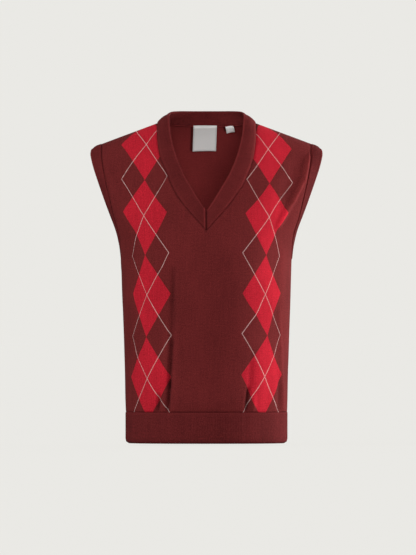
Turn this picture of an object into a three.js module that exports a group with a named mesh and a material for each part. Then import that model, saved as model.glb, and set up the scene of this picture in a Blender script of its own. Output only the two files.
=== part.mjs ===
// A knitted V-neck sweater vest, filled out as it is when worn, and hollow inside.
// Millimetres, +Z up, +X to the right of someone who looks at the front, and the front faces -Y.
// The origin lies between the shoulders, level with the neck ends of the shoulder seams, where a wearer carries it.
import * as THREE from "three";
import { mergeVertices } from "three/addons/utils/BufferGeometryUtils.js";

// Cloth
const BODY_CLOTH = 2; // fine plain knit
const BAND_CLOTH = 2.6; // doubled rib knit of the bands
const LABEL_CLOTH = 1;
const SEAM_GAP = 0.3; // between neighbouring pieces
const BAND_PROUD = 0.4; // a band's groove stands this far above the panel beside it
const RIB_PITCH = 6;
const RIB_HEIGHT = 0.7;

// Heights, down from the neck ends of the shoulder seams
const HEM_SEAM = -533;
const HEM_FOLD = -590;
const UNDERARM = -252;
const NECK_TIP = -197;
const BACK_NECK = -4;

// Shoulders
const NECK_HALF = 91.4; // from the centre to the neck end of a shoulder seam
const SHOULDER_HALF = 193.8; // from the centre to its armhole end
const SHOULDER_TOP = 1.4; // height of its neck end
const SHOULDER_DROP = 38.2; // from its neck end to its armhole end
const SHOULDER_ROLL = 140; // height over which the cloth turns over the shoulder
const NECK_ARCH = 1.6; // power of the arch that carries the shoulder line over the neck
const HEM_ROLL = 7; // radius at which the hem's folded edge turns in

// Grid of a half panel
const COLUMNS = 14;
const BACK_NECK_COLUMNS = 6;
const LOWER_ROWS = 11; // hem seam to underarm
const CHEST_ROWS = 4; // underarm to the tip of the V
const SHOULDER_ROWS = 12; // tip of the V to the shoulder seam

const MAROON = 0x652223;
const BAND_MAROON = 0x5a1d1e;
const LABEL_GREY = 0xb9b8b4;

// Level sections of the filled-out body. side is the half width at the side seam, and above the underarm at the
// armhole seam; front and back are the depths at the centre; edge is the depth at the armhole seam, where the section
// is cut off, and 0 where it closes at the side seam.
const SECTIONS = [
  { z: -533, side: 149.3, front: 105.5, back: 100.5, edge: 0 },
  { z: -512, side: 149.9, front: 110, back: 104, edge: 0 },
  { z: -470, side: 150.6, front: 113, back: 103.5, edge: 0 },
  { z: -400, side: 152.6, front: 117.5, back: 100.5, edge: 0 },
  { z: -330, side: 155.2, front: 124, back: 101, edge: 0 },
  { z: -280, side: 156.6, front: 128.5, back: 105.5, edge: 0 },
  { z: -252, side: 157.4, front: 129.5, back: 108.5, edge: 0 },
  { z: -247, side: 157.5, front: 129.4, back: 109, edge: 15.5 },
  { z: -237, side: 157.9, front: 129, back: 110, edge: 28 },
  { z: -220, side: 158.8, front: 127.5, back: 111.5, edge: 40 },
  { z: -200, side: 162.6, front: 124.5, back: 112.5, edge: 50 },
  { z: -174, side: 170.9, front: 119, back: 112.5, edge: 57 },
  { z: -146, side: 177.8, front: 111, back: 110.5, edge: 61 },
  { z: -103, side: 187.4, front: 97, back: 104, edge: 62 },
  { z: -60, side: 193.5, front: 82, back: 97, edge: 57 },
  { z: -37, side: 193.8, front: 74, back: 95, edge: 53 },
  { z: 0, side: 193.8, front: 64, back: 94, edge: 49 },
  { z: 35, side: 193.8, front: 58, back: 94, edge: 47 },
];
const ROUNDNESS = 2.4; // 2 is an ellipse, more is squarer

// The front neck seam, as its half width at each height.
const NECKLINE = [
  { z: -197, half: 0 },
  { z: -184, half: 12 },
  { z: -170, half: 24.5 },
  { z: -138, half: 50.5 },
  { z: -101, half: 73 },
  { z: -55, half: 88 },
  { z: -20, half: 91.4 },
  { z: 0, half: 91.4 },
];

// The armband's free edge, as its distance from the centre at each height.
const ARM_EDGE = [
  { z: -228, out: 159 },
  { z: -207, out: 164 },
  { z: -192, out: 168.6 },
  { z: -170, out: 177.2 },
  { z: -148, out: 185.7 },
  { z: -125, out: 194 },
  { z: -103, out: 201.7 },
  { z: -81, out: 209 },
  { z: -66, out: 212.8 },
  { z: -56, out: 214.4 },
  { z: -50, out: 213.6 },
];
const ARM_SEAM = { z: -144.5, halfHeight: 107.5, halfDepth: 60 };
const ARM_OPENING = { z: -139, halfHeight: 89, halfDepth: 36 };

// The neckband's free edge. along is 0 at the tip of the V, 1 at the shoulder seam and 2 at the centre back; bulge is
// how far the middle of the band stands out of the straight line across it.
const NECK_EDGE = [
  { along: 0, x: 0, y: -113.5, z: -154.5, bulge: 0.8 },
  { along: 0.14, x: 7, y: -111, z: -146, bulge: 0.8 },
  { along: 0.29, x: 24, y: -103.5, z: -122, bulge: 1 },
  { along: 0.47, x: 43.5, y: -88.5, z: -90, bulge: 1.5 },
  { along: 0.68, x: 58, y: -65, z: -53, bulge: 2 },
  { along: 0.87, x: 66.5, y: -34, z: -14, bulge: 3.5 },
  { along: 1, x: 68.5, y: -8, z: 14.5, bulge: 4.5 },
  { along: 1.17, x: 66, y: 14, z: 21.5, bulge: 4 },
  { along: 1.34, x: 57, y: 29, z: 23.5, bulge: 3 },
  { along: 1.56, x: 39, y: 41, z: 24, bulge: 2 },
  { along: 1.78, x: 20, y: 47, z: 24, bulge: 1.5 },
  { along: 2, x: 0, y: 49, z: 24, bulge: 1.5 },
];

// Soft folds, as ridges (or troughs, where rise is negative) from one point of the front view to another.
const FOLDS = {
  front: [
    { x0: 192, z0: -58, x1: 176, z1: -122, width: 9, rise: 3.2 },
    { x0: 178, z0: -118, x1: 146, z1: -172, width: 10, rise: 3.4 },
    { x0: -188, z0: -70, x1: -162, z1: -150, width: 13, rise: 1.6 },
    { x0: -68, z0: -531, x1: -66, z1: -462, width: 7, rise: -3 },
    { x0: -62, z0: -455, x1: -60, z1: -300, width: 10, rise: -1.6 },
    { x0: 71, z0: -531, x1: 75, z1: -476, width: 7, rise: -2.8 },
    { x0: -104, z0: -531, x1: -100, z1: -440, width: 15, rise: 2.4 },
    { x0: 106, z0: -531, x1: 110, z1: -452, width: 15, rise: 2.2 },
    { x0: -139, z0: -506, x1: -136, z1: -330, width: 9, rise: 1.8 },
    { x0: 141, z0: -520, x1: 143, z1: -300, width: 9, rise: 1.9 },
    { x0: 20, z0: -531, x1: 26, z1: -430, width: 16, rise: 1.4 },
    { x0: -26, z0: -520, x1: -20, z1: -380, width: 18, rise: 1.1 },
  ],
  back: [
    { x0: 186, z0: -76, x1: 150, z1: -176, width: 12, rise: 2.6 },
    { x0: -188, z0: -66, x1: -156, z1: -162, width: 11, rise: 2.8 },
    { x0: -74, z0: -531, x1: -80, z1: -420, width: 13, rise: 2.4 },
    { x0: -38, z0: -531, x1: -36, z1: -470, width: 8, rise: -2.4 },
    { x0: 46, z0: -531, x1: 50, z1: -448, width: 9, rise: -2.6 },
    { x0: 92, z0: -531, x1: 88, z1: -400, width: 14, rise: 2.6 },
    { x0: 134, z0: -500, x1: 138, z1: -330, width: 10, rise: 1.8 },
    { x0: -132, z0: -524, x1: -137, z1: -350, width: 10, rise: 2 },
    { x0: 6, z0: -430, x1: 2, z1: -250, width: 16, rise: -1.5 },
  ],
};
const FOLD_SEAM_FADE = 16; // a fold dies away this close to a seam at the neck or shoulder

// Labels, from the seam at the centre back: left and right are their sides in the front view.
const LABELS = [
  { name: "neck_label", left: -24, right: 20.4, top: -5.5, bottom: -51.5, lean: -1.2, stand: 1.4 },
  { name: "size_label", left: 34.5, right: 51.5, top: -5.5, bottom: -18, lean: 2.6, stand: 0.6 },
];
const LABEL_ROWS = 6;
const LABEL_COLUMNS = 4;

const up = new THREE.Vector3(0, 0, 1);
const lerp = THREE.MathUtils.lerp;
const clamp = THREE.MathUtils.clamp;

// A smooth curve through one column of a table, which never swings past its rows.
function curve(rows, at, column) {
  const slopes = rows.slice(1).map((row, k) => (row[column] - rows[k][column]) / (row[at] - rows[k][at]));
  const tangents = rows.map((row, k) => {
    const before = slopes[Math.max(k - 1, 0)];
    const after = slopes[Math.min(k, slopes.length - 1)];
    return before * after <= 0 ? 0 : (2 * before * after) / (before + after);
  });
  return (value) => {
    const v = clamp(value, rows[0][at], rows[rows.length - 1][at]);
    const k = clamp(rows.findIndex((row) => row[at] > v) - 1, 0, rows.length - 2);
    const last = v >= rows[rows.length - 1][at] ? rows.length - 2 : k;
    const span = rows[last + 1][at] - rows[last][at];
    const t = (v - rows[last][at]) / span;
    const from = rows[last][column];
    const to = rows[last + 1][column];
    return (
      from * (1 + 2 * t) * (1 - t) ** 2 +
      to * t * t * (3 - 2 * t) +
      span * (tangents[last] * t * (1 - t) ** 2 - tangents[last + 1] * t * t * (1 - t))
    );
  };
}

const sideAt = curve(SECTIONS, "z", "side");
const depthAt = { front: curve(SECTIONS, "z", "front"), back: curve(SECTIONS, "z", "back") };
const edgeAt = curve(SECTIONS, "z", "edge");
const necklineAt = curve(NECKLINE, "z", "half");
const armEdgeAt = curve(ARM_EDGE, "z", "out");
const neckEdge = {
  x: curve(NECK_EDGE, "along", "x"),
  y: curve(NECK_EDGE, "along", "y"),
  z: curve(NECK_EDGE, "along", "z"),
  bulge: curve(NECK_EDGE, "along", "bulge"),
};

// The height of the shoulder seams, carried on in a smooth arch over the neck.
function shoulderLine(x) {
  const slope = SHOULDER_DROP / (SHOULDER_HALF - NECK_HALF);
  const outward = Math.abs(x) / NECK_HALF;
  if (outward >= 1) return SHOULDER_TOP - slope * (Math.abs(x) - NECK_HALF);
  return SHOULDER_TOP + ((slope * NECK_HALF) / NECK_ARCH) * (1 - outward ** NECK_ARCH);
}

// How far the smooth body stands out of the plane of the side and shoulder seams, at a place in the front view.
function bodyDepth(face, x, z) {
  const across = clamp(Math.abs(x) / sideAt(z), 0, 1) ** ROUNDNESS;
  const centre = depthAt[face](z);
  const kept = 1 - (edgeAt(z) / centre) ** ROUNDNESS;
  const depth = centre * (1 - across * kept) ** (1 / ROUNDNESS);
  const belowShoulder = clamp((shoulderLine(x) - z) / SHOULDER_ROLL, 0, 1);
  return depth * Math.sqrt(1 - (1 - belowShoulder) ** 2);
}

function foldRise(face, x, z) {
  const clear = clamp((shoulderLine(x) - z) / FOLD_SEAM_FADE, 0, 1);
  return FOLDS[face].reduce((sum, fold) => {
    const dx = fold.x1 - fold.x0;
    const dz = fold.z1 - fold.z0;
    const along = ((x - fold.x0) * dx + (z - fold.z0) * dz) / (dx * dx + dz * dz);
    const nearest = clamp(along, 0, 1);
    const away = Math.hypot(x - fold.x0 - nearest * dx, z - fold.z0 - nearest * dz) / fold.width;
    const taper = 0.35 + 0.65 * Math.sin(Math.PI * clamp(nearest * 0.8 + 0.1, 0, 1));
    return sum + fold.rise * taper * clear * Math.exp(-away * away);
  }, 0);
}

// The grid of a half panel: where column i and row j lie in the front view.
function panelLayout(face) {
  const neckShare = NECK_HALF / SHOULDER_HALF;
  const share = (i) => {
    if (face === "front") return Math.sin((i / COLUMNS) * (Math.PI / 2));
    if (i <= BACK_NECK_COLUMNS) return (neckShare * i) / BACK_NECK_COLUMNS;
    const rest = (i - BACK_NECK_COLUMNS) / (COLUMNS - BACK_NECK_COLUMNS);
    return Math.sin(lerp(Math.asin(neckShare), Math.PI / 2, rest));
  };
  const neckTop = face === "front" ? NECK_HALF : 0;
  const topHeight = (i) => {
    const x = lerp(neckTop, SHOULDER_HALF, share(i));
    return x >= NECK_HALF - 1e-6 ? shoulderLine(x) : lerp(BACK_NECK, SHOULDER_TOP, (x / NECK_HALF) ** 2);
  };
  const height = (i, j) => {
    if (j <= LOWER_ROWS) return lerp(HEM_SEAM, UNDERARM, j / LOWER_ROWS);
    if (j <= LOWER_ROWS + CHEST_ROWS) return lerp(UNDERARM, NECK_TIP, ((j - LOWER_ROWS) / CHEST_ROWS) ** 1.7);
    const rise = Math.sin(((j - LOWER_ROWS - CHEST_ROWS) / SHOULDER_ROWS) * (Math.PI / 2));
    return lerp(NECK_TIP, topHeight(i), rise);
  };
  return (i, j) => {
    const neck = face === "front" ? necklineAt(height(0, j)) : 0;
    return { x: lerp(neck, sideAt(height(COLUMNS, j)), share(i)), z: height(i, j) };
  };
}

const ROWS = LOWER_ROWS + CHEST_ROWS + SHOULDER_ROWS;

// A half panel's outer points and the directions that its wall is thick in. hand is 1 for the right half.
function panelHalf(face, hand) {
  const facing = face === "front" ? -1 : 1;
  const layout = panelLayout(face);
  const smooth = (i, j) => {
    const { x, z } = layout(i, j);
    return new THREE.Vector3(hand * x, facing * (SEAM_GAP / 2 + bodyDepth(face, x, z)), z);
  };
  const normalAt = (i, j) => {
    const acrossCloth = smooth(Math.min(i + 0.5, COLUMNS), j).sub(smooth(Math.max(i - 0.5, 0), j));
    const upCloth = smooth(i, Math.min(j + 0.5, ROWS)).sub(smooth(i, Math.max(j - 0.5, 0)));
    const normal = new THREE.Vector3().crossVectors(acrossCloth, upCloth);
    const atSideSeam = i === COLUMNS && j <= LOWER_ROWS;
    const atShoulderSeam = j === ROWS && Math.abs(smooth(i, j).x) >= NECK_HALF - 1e-6;
    if (normal.y * facing < 0) normal.negate();
    if (atShoulderSeam) normal.set(hand * SHOULDER_DROP, 0, SHOULDER_HALF - NECK_HALF);
    if (atSideSeam) normal.setY(0);
    return normal.normalize();
  };
  const points = [];
  const normals = [];
  for (let i = 0; i <= COLUMNS; i += 1) {
    points.push([]);
    normals.push([]);
    for (let j = 0; j <= ROWS; j += 1) {
      const normal = normalAt(i, j);
      const point = smooth(i, j);
      if (i === 0 && point.x === 0) normal.setX(0).normalize();
      const onSeamPlane = Math.abs(normal.y) < 1e-9;
      const rise = onSeamPlane ? 0 : foldRise(face, point.x, point.z);
      points[i].push(point.addScaledVector(normal, rise));
      normals[i].push(normal);
    }
  }
  return { face, hand, points, normals };
}

// Triangles between two lines of points, which may have different numbers of them.
function zip(a, b, flip, triangles) {
  let i = 0;
  let k = 0;
  while (i < a.length - 1 || k < b.length - 1) {
    const stepA = k === b.length - 1 || (i < a.length - 1 && (i + 1) / (a.length - 1) <= (k + 1) / (b.length - 1));
    const triangle = stepA ? [a[i], a[i + 1], b[k]] : [a[i], b[k + 1], b[k]];
    triangles.push(flip ? triangle.reverse() : triangle);
    if (stepA) i += 1;
    else k += 1;
  }
}

const line = (grid, j) => grid.map((column) => column[j]);

// The two faces of a wall, and the walls along the edges that are asked for. Both grids run grid[column][row].
function clothWall(outer, inner, flip, edges, triangles) {
  for (let i = 0; i < outer.length - 1; i += 1) zip(outer[i + 1], outer[i], flip, triangles);
  for (let i = 0; i < inner.length - 1; i += 1) zip(inner[i], inner[i + 1], flip, triangles);
  const last = outer[0].length - 1;
  const innerLast = inner[0].length - 1;
  if (edges.bottom) zip(line(outer, 0), line(inner, 0), !flip, triangles);
  if (edges.top) zip(line(outer, last), line(inner, innerLast), flip, triangles);
  if (edges.left) zip(outer[0].slice(edges.leftFrom ?? 0), inner[0].slice(edges.leftFrom ?? 0), flip, triangles);
  if (edges.right) zip(outer[outer.length - 1], inner[inner.length - 1], !flip, triangles);
}

function solid(name, triangles, colour, roughness) {
  const positions = triangles.flatMap((triangle) => triangle.flatMap((point) => point.toArray()));
  const loose = new THREE.BufferGeometry();
  loose.setAttribute("position", new THREE.Float32BufferAttribute(positions, 3));
  const geometry = mergeVertices(loose, 1e-4);
  geometry.computeVertexNormals();
  const material = new THREE.MeshStandardMaterial({ color: colour, roughness, metalness: 0 });
  const mesh = new THREE.Mesh(geometry, material);
  mesh.name = name;
  return mesh;
}

function moved(points, normals, distance) {
  return points.map((column, i) => column.map((point, j) => point.clone().addScaledVector(normals[i][j], distance)));
}

function panel(name, halves) {
  const triangles = [];
  for (const { face, hand, points, normals } of halves) {
    const isFront = face === "front";
    const flip = isFront !== hand > 0;
    const edges = { bottom: true, top: true, right: true, left: isFront, leftFrom: LOWER_ROWS + CHEST_ROWS };
    clothWall(points, moved(points, normals, -BODY_CLOTH), flip, edges, triangles);
  }
  return solid(name, triangles, MAROON, 0.9);
}

// A place on a seam: a point and normal of a panel's edge.
const place = (half, i, j) => ({ point: half.points[i][j], normal: half.normals[i][j] });

// Places evenly spaced along a seam, on the straight edges between its own places, so that a band follows the panel.
function spacedPlaces(seam, count) {
  const lengths = [0];
  for (let k = 1; k < seam.length; k += 1) {
    lengths.push(lengths[k - 1] + seam[k].point.distanceTo(seam[k - 1].point));
  }
  const total = lengths[lengths.length - 1];
  return Array.from({ length: count + 1 }, (_, c) => {
    const wanted = (total * c) / count;
    const k = clamp(lengths.findIndex((length) => length > wanted) - 1, 0, seam.length - 2);
    const segment = c === count ? seam.length - 2 : k;
    const t = (wanted - lengths[segment]) / (lengths[segment + 1] - lengths[segment]);
    return {
      share: c / count,
      point: seam[segment].point.clone().lerp(seam[segment + 1].point, t),
      normal: seam[segment].normal.clone().lerp(seam[segment + 1].normal, t).normalize(),
      tangent: seam[segment + 1].point.clone().sub(seam[segment].point).normalize(),
    };
  });
}

const seamLength = (seam) =>
  seam.slice(1).reduce((sum, next, k) => sum + next.point.distanceTo(seam[k].point), 0);

const ribCount = (seam) => Math.round(seamLength(seam) / RIB_PITCH);

// A ribbed band. profile(place) gives the points and normals across it, from the seam to the free edge. Ribs are
// raised on the outside: two columns of points a rib outside, and one inside.
function ribbedBand(places, profile, flip, edges, triangles) {
  const strips = places.map((seamPlace, c) => {
    const rib = c % 2 === 1 ? RIB_HEIGHT : 0;
    return profile(seamPlace).map(({ point, normal }) => ({
      outer: point.clone().addScaledVector(normal, BAND_PROUD + rib),
      inner: point.clone().addScaledVector(normal, BAND_PROUD - BAND_CLOTH),
    }));
  });
  const outer = strips.map((strip) => strip.map((s) => s.outer));
  const inner = strips.filter((_, c) => c % 2 === 0).map((strip) => strip.map((s) => s.inner));
  clothWall(outer, inner, flip, edges, triangles);
}

// Points across a band that runs from a seam to a free edge, bulging a little between them.
function acrossBand(seamPlace, edgePoint, edgeNormal, bulge) {
  const offSeam = new THREE.Vector3().crossVectors(seamPlace.tangent, seamPlace.normal).normalize();
  if (offSeam.dot(edgePoint.clone().sub(seamPlace.point)) < 0) offSeam.negate();
  const start = seamPlace.point.clone().addScaledVector(offSeam, SEAM_GAP);
  return [0, 0.5, 1].map((w) => {
    const normal = seamPlace.normal.clone().lerp(edgeNormal, w).normalize();
    const point = start.clone().lerp(edgePoint, w).addScaledVector(normal, 4 * w * (1 - w) * bulge);
    return { point, normal };
  });
}

// Rib hem of one panel: straight down from the hem seam, with its folded edge turned in.
function hemRib(name, halves) {
  const [left, right] = halves;
  const columns = [...left.points.keys()];
  const seam = [
    ...columns.slice(1).reverse().map((i) => place(left, i, 0)),
    ...columns.map((i) => place(right, i, 0)),
  ];
  const places = spacedPlaces(seam, 2 * ribCount(seam));
  const profile = ({ point, normal }) => {
    const out = normal.clone().setZ(0).normalize();
    const straight = [HEM_SEAM - SEAM_GAP, HEM_FOLD + HEM_ROLL].map((z) => ({
      point: point.clone().setZ(z),
      normal: out,
    }));
    const turned = [45, 85].map((degrees) => {
      const angle = THREE.MathUtils.degToRad(degrees);
      const away = out.clone().multiplyScalar(Math.cos(angle)).addScaledVector(up, -Math.sin(angle));
      const centre = point.clone().setZ(HEM_FOLD + HEM_ROLL).addScaledVector(out, -HEM_ROLL);
      return { point: centre.addScaledVector(away, HEM_ROLL), normal: away };
    });
    return [...straight, ...turned];
  };
  const triangles = [];
  const flip = left.face === "front";
  ribbedBand(places, profile, flip, { bottom: true, top: true, left: true, right: true }, triangles);
  return solid(name, triangles, BAND_MAROON, 0.92);
}

// Rib band around one armhole: from the underarm up the front, over the shoulder and down the back.
function armband(name, frontHalf, backHalf) {
  const { hand } = frontHalf;
  const rows = Array.from({ length: ROWS - LOWER_ROWS + 1 }, (_, k) => LOWER_ROWS + k);
  const seam = [
    ...rows.map((j) => place(frontHalf, COLUMNS, j)),
    ...rows.reverse().map((j) => place(backHalf, COLUMNS, j)),
  ];
  seam.push(seam[0]);
  const openEdge = (angle) => {
    const z = ARM_OPENING.z - ARM_OPENING.halfHeight * Math.cos(angle);
    return new THREE.Vector3(hand * armEdgeAt(z), -ARM_OPENING.halfDepth * Math.sin(angle), z);
  };
  const angleOf = ({ y, z }) =>
    Math.atan2(-y / ARM_SEAM.halfDepth, (ARM_SEAM.z - z) / ARM_SEAM.halfHeight);
  const profile = (seamPlace) => {
    const angle = angleOf(seamPlace.point);
    const edge = openEdge(angle);
    const along = openEdge(angle + 0.05).sub(openEdge(angle - 0.05));
    const across = edge.clone().sub(seamPlace.point);
    const normal = new THREE.Vector3().crossVectors(across, along).multiplyScalar(hand).normalize();
    return acrossBand(seamPlace, edge, normal, 0.8);
  };
  const triangles = [];
  const count = 2 * ribCount(seam);
  const places = spacedPlaces(seam, count);
  places[count] = places[0];
  ribbedBand(places, profile, hand > 0, { bottom: true, top: true }, triangles);
  return solid(name, triangles, BAND_MAROON, 0.92);
}

// Rib band of the neck: from its mitre at the tip of the V, up the right side, round the back and down again.
function neckband(name, front, back) {
  const rows = Array.from({ length: SHOULDER_ROWS + 1 }, (_, k) => LOWER_ROWS + CHEST_ROWS + k);
  const columns = Array.from({ length: BACK_NECK_COLUMNS + 1 }, (_, k) => BACK_NECK_COLUMNS - k);
  const quarter = (hand) => ({
    frontSeam: rows.map((j) => place(front[hand], 0, j)),
    backSeam: columns.map((i) => place(back[hand], i, ROWS)),
  });
  const ribs = { front: ribCount(quarter(1).frontSeam), back: ribCount(quarter(1).backSeam) };
  const placesOf = (hand) => {
    const { frontSeam, backSeam } = quarter(hand);
    const onFront = spacedPlaces(frontSeam, 2 * ribs.front);
    const onBack = spacedPlaces(backSeam, 2 * ribs.back).map((p) => ({ ...p, share: 1 + p.share }));
    return [...onFront.slice(0, -1), ...onBack].map((p) => ({ ...p, hand }));
  };
  const profile = ({ point, normal, tangent, share, hand }) => {
    const edgeAlong = (a) => new THREE.Vector3(hand * neckEdge.x(a), neckEdge.y(a), neckEdge.z(a));
    const edge = edgeAlong(share);
    const along = edgeAlong(Math.min(share + 0.02, 2)).sub(edgeAlong(Math.max(share - 0.02, 0)));
    const across = edge.clone().sub(point);
    const edgeNormal = new THREE.Vector3().crossVectors(along, across).multiplyScalar(hand).normalize();
    const atCentre = share === 0 || share === 2;
    if (atCentre) edgeNormal.setX(0).normalize();
    const strip = acrossBand({ point, normal, tangent }, edge, edgeNormal, neckEdge.bulge(share));
    if (share === 0) strip.forEach((s) => s.point.setX(hand * SEAM_GAP));
    if (share === 0) strip[0].point.setZ(point.z + 3 * SEAM_GAP);
    return strip;
  };
  const triangles = [];
  const places = [...placesOf(1), ...placesOf(-1).reverse().slice(1)];
  ribbedBand(places, profile, false, { bottom: true, top: true, left: true, right: true }, triangles);
  return solid(name, triangles, BAND_MAROON, 0.92);
}

// A blank woven label that hangs from the back neck seam: points of the back's inside, moved in.
function label({ name, left, right, top, bottom, lean, stand }) {
  const backOutside = (x, z) => bodyDepth("back", x, z) + SEAM_GAP / 2;
  const at = (i, j, distance) => {
    const down = j / LABEL_ROWS;
    const x = lerp(left, right, i / LABEL_COLUMNS) + lean * down;
    const z = lerp(top, bottom, down);
    const steep = Math.hypot(1, (backOutside(x, z + 1) - backOutside(x, z - 1)) / 2);
    const offPanel = BODY_CLOTH + Math.max(0, -foldRise("back", x, z)) + SEAM_GAP * 2;
    return new THREE.Vector3(x, backOutside(x, z) - (offPanel + stand * down + distance) * steep, z);
  };
  const grid = (distance) =>
    Array.from({ length: LABEL_COLUMNS + 1 }, (_, i) =>
      Array.from({ length: LABEL_ROWS + 1 }, (_, j) => at(i, j, distance)),
    );
  const triangles = [];
  clothWall(grid(0), grid(LABEL_CLOTH), false, { bottom: true, top: true, left: true, right: true }, triangles);
  return solid(name, triangles, LABEL_GREY, 0.7);
}

const front = { 1: panelHalf("front", 1), "-1": panelHalf("front", -1) };
const back = { 1: panelHalf("back", 1), "-1": panelHalf("back", -1) };

const vest = new THREE.Group();
vest.name = "sweater_vest";
vest.add(panel("front_panel", [front[-1], front[1]]));
vest.add(panel("back_panel", [back[-1], back[1]]));
vest.add(hemRib("front_hem_rib", [front[-1], front[1]]));
vest.add(hemRib("back_hem_rib", [back[-1], back[1]]));
vest.add(armband("right_armband", front[1], back[1]));
vest.add(armband("left_armband", front[-1], back[-1]));
vest.add(neckband("neckband", front, back));
for (const row of LABELS) vest.add(label(row));

export default vest;
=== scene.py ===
import bisect
import functools
import math

import bmesh
import bpy
from mathutils import Matrix, Vector


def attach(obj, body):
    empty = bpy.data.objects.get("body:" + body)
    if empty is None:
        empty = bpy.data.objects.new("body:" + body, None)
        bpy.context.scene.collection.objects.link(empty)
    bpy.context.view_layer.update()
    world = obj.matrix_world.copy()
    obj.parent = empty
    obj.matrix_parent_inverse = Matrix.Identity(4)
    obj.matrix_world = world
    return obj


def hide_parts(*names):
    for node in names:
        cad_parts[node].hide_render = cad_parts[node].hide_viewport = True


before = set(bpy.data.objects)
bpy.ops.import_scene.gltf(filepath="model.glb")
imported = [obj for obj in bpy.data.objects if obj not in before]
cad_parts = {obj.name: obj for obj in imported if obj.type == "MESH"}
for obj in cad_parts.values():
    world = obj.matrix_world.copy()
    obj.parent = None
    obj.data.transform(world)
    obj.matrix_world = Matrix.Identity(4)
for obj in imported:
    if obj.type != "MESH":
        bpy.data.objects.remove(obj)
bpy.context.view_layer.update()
print("frame loaded")

# The form is worked out in millimetres and turned to metres when a mesh is finished
metre = 0.001


def table(columns, rows):
    return [dict(zip(columns.split(), row)) for row in rows]


def mix(a, b, share):
    return a + (b - a) * share


def clamp(value, low=0, high=1):
    return min(max(value, low), high)


# 1 where the distance is 0, falling away softly over the width
def bump(distance, width):
    return math.exp(-((distance / width) ** 2))


# A smooth curve through one column of a table, which never swings past its rows
def smoothCurve(rows, key, column):
    keys = [row[key] for row in rows]
    values = [row[column] for row in rows]
    slopes = [(b - a) / (q - p) for a, b, p, q in zip(values, values[1:], keys, keys[1:])]
    padded = [slopes[0]] + slopes + [slopes[-1]]
    tangents = [0 if a * b <= 0 else 2 * a * b / (a + b) for a, b in zip(padded, padded[1:])]

    @functools.lru_cache(maxsize=None)
    def at(value):
        v = clamp(value, keys[0], keys[-1])
        k = clamp(bisect.bisect_right(keys, v) - 1, 0, len(keys) - 2)
        span = keys[k + 1] - keys[k]
        t = (v - keys[k]) / span
        return (
            values[k] * (1 + 2 * t) * (1 - t) ** 2
            + values[k + 1] * t * t * (3 - 2 * t)
            + span * (tangents[k] * t * (1 - t) ** 2 - tangents[k + 1] * t * t * (1 - t))
        )

    return at


# Camera and light
studio = {
    "frameHeight": 1.02675,  # metres that the photograph's frame covers, top to bottom, at the side seams
    "middle": (0.0028, -0.2842),
    "distance": 20,
    "sensor": 36,
    "paper": (0.823, 0.815, 0.783),
    "ambient": 0.3,
    "floorHeight": -0.5935,
    "floorSize": 60,
    "floorDiffuse": 0.04,
    "suns": [
        {"name": "leftSoftbox", "azimuth": -66, "elevation": 22, "energy": 1.7, "angle": 50},
        {"name": "frontSoftbox", "azimuth": 7, "elevation": 5, "energy": 2, "angle": 32},
        {"name": "rightSoftbox", "azimuth": 97, "elevation": 3, "energy": 6.4, "angle": 16},
        {"name": "backSoftbox", "azimuth": 166, "elevation": 34, "energy": 1.2, "angle": 50},
    ],
}


def directionFrom(azimuth, elevation):
    a, e = math.radians(azimuth), math.radians(elevation)
    return Vector((math.sin(a) * math.cos(e), -math.cos(a) * math.cos(e), math.sin(e)))


# Paper that looks as pale as the photograph's and lights the knit only softly
def showPaper(tree, inputs, colourName, strengthName, colour):
    inputs[colourName].default_value = (*colour, 1)
    seen = tree.nodes.new("ShaderNodeLightPath").outputs["Is Camera Ray"]
    strength = tree.nodes.new("ShaderNodeMapRange")
    strength.inputs["To Min"].default_value = studio["ambient"]
    tree.links.new(seen, strength.inputs["Value"])
    tree.links.new(strength.outputs["Result"], inputs[strengthName])


def makeStudio():
    scene = bpy.context.scene
    scene.view_settings.view_transform = "Standard"
    camera = bpy.data.objects.new("camera", bpy.data.cameras.new("camera"))
    camera.data.sensor_width = studio["sensor"]
    camera.data.lens = studio["sensor"] * studio["distance"] / studio["frameHeight"]
    camera.location = (studio["middle"][0], -studio["distance"], studio["middle"][1])
    camera.rotation_euler = (math.radians(90), 0, 0)
    scene.collection.objects.link(camera)
    scene.camera = camera

    world = bpy.data.worlds.new("paper")
    world.use_nodes = True
    background = world.node_tree.nodes["Background"].inputs
    showPaper(world.node_tree, background, "Color", "Strength", studio["paper"])
    scene.world = world

    floorLight = studio["ambient"]
    for row in studio["suns"]:
        light = bpy.data.objects.new(row["name"], bpy.data.lights.new(row["name"], "SUN"))
        light.data.energy = row["energy"]
        light.data.angle = math.radians(row["angle"])
        toLight = directionFrom(row["azimuth"], row["elevation"])
        light.rotation_mode = "QUATERNION"
        light.rotation_quaternion = toLight.to_track_quat("Z", "Y")
        scene.collection.objects.link(light)
        floorLight += row["energy"] * toLight.z / math.pi

    bm = bmesh.new()
    bmesh.ops.create_grid(bm, x_segments=1, y_segments=1, size=studio["floorSize"] / 2)
    bmesh.ops.translate(bm, verts=bm.verts, vec=(0, 0, studio["floorHeight"]))
    mesh = bpy.data.meshes.new("floor")
    bm.to_mesh(mesh)
    bm.free()
    floor = bpy.data.objects.new("floor", mesh)
    scene.collection.objects.link(floor)
    material = bpy.data.materials.new("floorPaper")
    material.use_nodes = True
    inputs = material.node_tree.nodes["Principled BSDF"].inputs
    diffuse = studio["floorDiffuse"]
    inputs["Base Color"].default_value = (diffuse, diffuse, diffuse, 1)
    inputs["Roughness"].default_value = 1
    inputs["Specular IOR Level"].default_value = 0
    # The glow makes up what the floor doesn't reflect, so that it is as pale as the wall behind it
    glow = [channel - diffuse * floorLight for channel in studio["paper"]]
    showPaper(material.node_tree, inputs, "Emission Color", "Emission Strength", glow)
    mesh.materials.append(material)


makeStudio()
print("studio made")

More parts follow.
